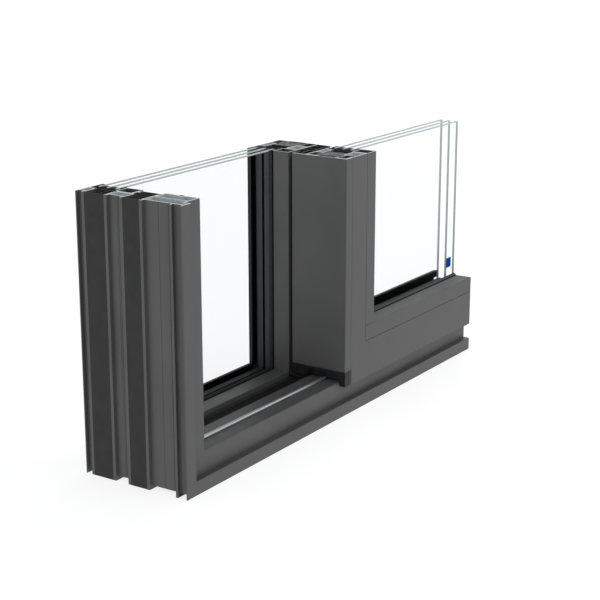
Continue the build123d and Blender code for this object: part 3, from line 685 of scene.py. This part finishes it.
def studio_light():
    """Even soft light from all round, dimmer overhead, and two large soft boxes."""
    world = bpy.data.worlds.new("studio")
    world.use_nodes = True
    tree = world.node_tree
    sky = tree.nodes["Background"]
    direction = tree.nodes.new("ShaderNodeTexCoord")
    split = tree.nodes.new("ShaderNodeSeparateXYZ")
    height = tree.nodes.new("ShaderNodeMapRange")
    height.inputs[1].default_value = SKY_BEND
    shade = tree.nodes.new("ShaderNodeMix")
    shade.data_type = "RGBA"
    for socket, colour in zip(MIX_COLOURS, (SKY_LOW, SKY_OVERHEAD)):
        shade.inputs[socket].default_value = colour
    tree.links.new(direction.outputs["Generated"], split.inputs[0])
    tree.links.new(split.outputs[UP], height.inputs[0])
    tree.links.new(height.outputs[0], shade.inputs[0])
    tree.links.new(shade.outputs[MIXED_COLOUR], sky.inputs["Color"])
    bpy.context.scene.world = world
    for name, place, power, side in SOFT_BOXES:
        light = bpy.data.lights.new(name, "AREA")
        light.energy = power
        light.size = side
        lamp = bpy.data.objects.new(name, light)
        lamp.location = place
        lamp.rotation_mode = "QUATERNION"
        lamp.rotation_quaternion = (-Vector(place)).to_track_quat("-Z", "Y")
        bpy.context.scene.collection.objects.link(lamp)


def camera():
    """The camera, where the photograph was taken from."""
    data = bpy.data.cameras.new("camera")
    data.lens = CAMERA_LENS
    data.sensor_width = CAMERA_SENSOR
    made = bpy.data.objects.new("camera", data)
    turn = Matrix.Rotation(math.radians(-CAMERA_TURN), 4, "Z")
    tilt = Matrix.Rotation(math.radians(FROM_STRAIGHT_DOWN - CAMERA_TILT), 4, "X")
    made.matrix_world = Matrix.Translation(CAMERA_PLACE) @ turn @ tilt
    bpy.context.scene.collection.objects.link(made)
    bpy.context.scene.camera = made


def dress(node, material):
    """Gives a solid its finish."""
    slots = NODES[node].data.materials
    slots.clear()
    slots.append(material)


def back_of(node):
    """How far back a solid reaches."""
    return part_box(node)[1].y


def middle_of(leaf):
    """How far back the middle pane of a leaf stands."""
    low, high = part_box(f"{leaf}_middle_pane")
    return (low.y + high.y) / 2


def dress_all():
    """Gives every solid its finish, and adds the pieces that share one."""
    for node, axis in COATED.items():
        dress(node, coated(f"coat_{node}", () if axis is None else chambers(node, axis)))
    for node, axis in FOAM.items():
        dress(node, foam(node, core(node, axis)))
    plastic = matt_plastic("black_plastic", PLASTIC, MOULDED_ROUGHNESS)
    grey = matt_plastic("grey_plastic", PLASTIC_GREY, PACKER_ROUGHNESS)
    polyamide = POLYAMIDE, POLYAMIDE_ROUGHNESS, POLYAMIDE_SHEEN, POLYAMIDE_CUT
    seal = edge_seal()
    # Painted highlight: the sash's gaskets get a lighter copy of the rubber
    sash_rubber = rubber("sash_rubber", back_of("sash_rail_bead"), middle_of("sash"), RUBBER_LIT)
    end_cap(plastic)
    fixed_edge_seal(seal)
    # Painted shade: a black strip in the sash's glass rebate
    rebate_shade_strip(sash_rubber)
    sealing_block(plastic)
    # A node takes the last finish whose word is in its name
    finishes = {
        "pane": glass(),
        "strips": matt_plastic("polyamide", *polyamide),
        "sill_strips": matt_plastic("sill_polyamide", *polyamide, POLYAMIDE_SHADED),
        "fixed_gaskets": rubber("fixed_rubber", back_of("sill_bead"), middle_of("fixed")),
        "sash_gaskets": sash_rubber,
        "jamb_seal": rubber("seal_rubber", LOW.y, HIGH.y),
        "packers": grey,
        "spacers": seal,
        "end_cap": plastic,
        "interlock": plastic,
        "rollers": grey,
        "running_rail": steel("rail_steel", RAIL_STEEL, RAIL_STREAKS),
        "roller_carriage": steel("carriage_steel", CARRIAGE_STEEL, CARRIAGE_STREAKS),
    }
    for node in sorted(set(NODES) - set(COATED) - set(FOAM)):
        for word, material in finishes.items():
            if word in node:
                dress(node, material)
        if "pane" in node:
            NODES[node].visible_shadow = False
            NODES[node].visible_diffuse = False


def add_piece(name, form, material, body):
    """Makes a piece of a form, with its finish, that moves with a body."""
    mesh = bpy.data.meshes.new(name)
    form.to_mesh(mesh)
    form.free()
    piece = bpy.data.objects.new(name, mesh)
    bpy.context.scene.collection.objects.link(piece)
    mesh.materials.append(material)
    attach(piece, body)
    return piece


def moulding(planes, filled):
    """A moulded form: the cells between three sets of planes that are filled, with rounded edges."""
    form = bmesh.new()
    cells = set()
    for cell in itertools.product(*(range(len(cuts) - 1) for cuts in planes)):
        if filled(*((cuts[i] + cuts[i + 1]) / 2 for cuts, i in zip(planes, cell))):
            cells.add(cell)
    corners = {}
    for cell, axis, side in itertools.product(sorted(cells), range(3), range(2)):
        beside = list(cell)
        beside[axis] += 2 * side - 1
        if tuple(beside) in cells:
            continue
        first, second = [a for a in range(3) if a != axis]
        ring = []
        for across, rise in SQUARE:
            key = list(cell)
            key[axis] += side
            key[first] += across
            key[second] += rise
            key = tuple(key)
            if key not in corners:
                corners[key] = form.verts.new([cuts[i] for cuts, i in zip(planes, key)])
            ring.append(corners[key])
        form.faces.new(ring)
    bmesh.ops.recalc_face_normals(form, faces=form.faces)
    bmesh.ops.dissolve_limit(form, angle_limit=FLAT_ANGLE, verts=form.verts, edges=form.edges)
    bmesh.ops.bevel(
        form,
        geom=[edge for edge in form.edges if edge.calc_face_angle() > SHARP_ANGLE],
        offset=MOULDED_ROUND,
        segments=MOULDED_STEPS,
        profile=MOULDED_PROFILE,
        affect="EDGES",
    )
    return form


def end_cap(material):
    """The end cap: it straddles the sill's ledge, and a plate in its arch lets the rail through."""
    low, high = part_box("sash_end_cap")
    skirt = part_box("sill_front_profile")[1].z + CAP_CLEAR
    rail_low, rail_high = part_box("running_rail")
    slot = rail_low.y - CAP_CLEAR, rail_high.y + CAP_CLEAR
    slot_top = rail_high.z + CAP_CLEAR
    leg, arch_back = low.y + CAP_LEG, low.y + CAP_ARCH_BACK
    tail_from, tail_to = low.y + CAP_TAIL_FROM, low.x + CAP_TAIL_THICK
    plate = low.x + CAP_PLATE_FROM, low.x + CAP_PLATE_TO
    arch_top = high.z - CAP_ARCH_DROP

    def filled(x, y, z):
        if y < leg:
            return True
        if z < skirt:
            return False
        if y > tail_from:
            return x < tail_to
        if y > arch_back or z > arch_top:
            return True
        in_slot = slot[0] < y < slot[1] and z < slot_top
        return plate[0] < x < plate[1] and not in_slot

    planes = (
        (low.x, *plate, tail_to, high.x),
        (low.y, leg, *slot, arch_back, tail_from, high.y),
        (low.z, skirt, slot_top, arch_top, high.z),
    )
    piece = add_piece("end_cap", moulding(planes, filled), material, "sash")
    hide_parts("sash_end_cap")


def fixed_edge_seal(material):
    """The edge seal between the fixed light's panes, as narrow as it shows through the glass."""
    low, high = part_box("fixed_spacers")
    middle = (low + high) / 2
    form = bmesh.new()
    form.from_mesh(NODES["fixed_spacers"].data)
    for vertex in form.verts:
        place = vertex.co
        if low.x + HAIR < place.x < middle.x:
            place.x = low.x + SEAL_WIDTH
        elif middle.x < place.x < high.x - HAIR:
            place.x = high.x - SEAL_WIDTH
        if low.z + HAIR < place.z < high.z - HAIR:
            place.z = low.z + SEAL_WIDTH
    piece = add_piece("fixed_edge_seal", form, material, "frame")
    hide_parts("fixed_spacers")


def rebate_shade_strip(material):
    """A black strip with a narrower heel, between the sash's outer pane and the wall of its rebate:
    painted shade for the rebate seen through the glass.
    """
    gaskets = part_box("sash_gaskets")[0]
    glass_back = back_of("sash_weather_pane")
    heel_back = glass_back + STRIP_HEEL
    wall = glass_back + STRIP_DEEP
    bottom = gaskets.z - STRIP_HEIGHT
    heel_top = bottom + STRIP_HEEL

    def filled(x, y, z):
        return z > heel_top or y > heel_back

    planes = (
        (gaskets.x + STRIP_INSET, HIGH.x - STRIP_CUT_BACK),
        (glass_back, heel_back, wall),
        (bottom, heel_top, gaskets.z),
    )
    piece = add_piece("rebate_shade_strip", moulding(planes, filled), material, "sash")


def sealing_block(material):
    """The black block in the sill's trough, between the rail's ledge and the fixed light's bead."""
    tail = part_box("sash_end_cap")[0].x
    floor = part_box("sill_strips")[1].z
    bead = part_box("sill_bead")[0].y
    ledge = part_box("sill_front_profile")[1].z
    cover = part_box("sash_end_cap")[1].y
    face = tail + BLOCK_BEHIND
    step = floor + BLOCK_STEP
    under = ledge + CAP_CLEAR - BLOCK_CLEAR

    def filled(x, y, z):
        return z < step or x > face and (z < under or y > cover)

    planes = (
        (tail, face, tail + BLOCK_LENGTH),
        (BLOCK_FRONT, cover + BLOCK_CLEAR, bead),
        (floor, step, under, under + BLOCK_STOP),
    )
    piece = add_piece("sealing_block", moulding(planes, filled), material, "frame")


def sticker():
    """A plain blue sticker with rounded corners, stuck on the room side of the sash's glass."""
    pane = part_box("sash_room_pane")[0]
    right = HIGH.x - STICKER_INSET
    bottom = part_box("sash_rail_bead")[1].z + STICKER_RISE
    middle = Vector((right - STICKER_SIDE / 2, pane.y, bottom + STICKER_SIDE / 2))
    reach = STICKER_SIDE / 2 - STICKER_ROUND
    steps = 4 * QUARTER_STEPS
    outline = []
    for step in range(steps):
        angle = 2 * math.pi * (step + 0.5) / steps
        across, rise = math.cos(angle), math.sin(angle)
        corner = Vector((math.copysign(reach, across), 0, math.copysign(reach, rise)))
        outline.append(middle + corner + Vector((across, 0, rise)) * STICKER_ROUND)
    form = bmesh.new()
    back = [form.verts.new(place) for place in outline]
    front = [form.verts.new(place - Vector((0, STICKER_THICK, 0))) for place in outline]
    form.faces.new(back)
    form.faces.new(front)
    for step in range(steps):
        form.faces.new((back[step - 1], back[step], front[step], front[step - 1]))
    bmesh.ops.recalc_face_normals(form, faces=form.faces)
    add_piece("blue_sticker", form, sticker_film(), "sash")


bpy.context.scene.view_settings.view_transform = "Standard"
bpy.context.scene.cycles.transparent_max_bounces = CLEAR_FACES
camera()
studio_floor()
studio_light()
dress_all()
sticker()
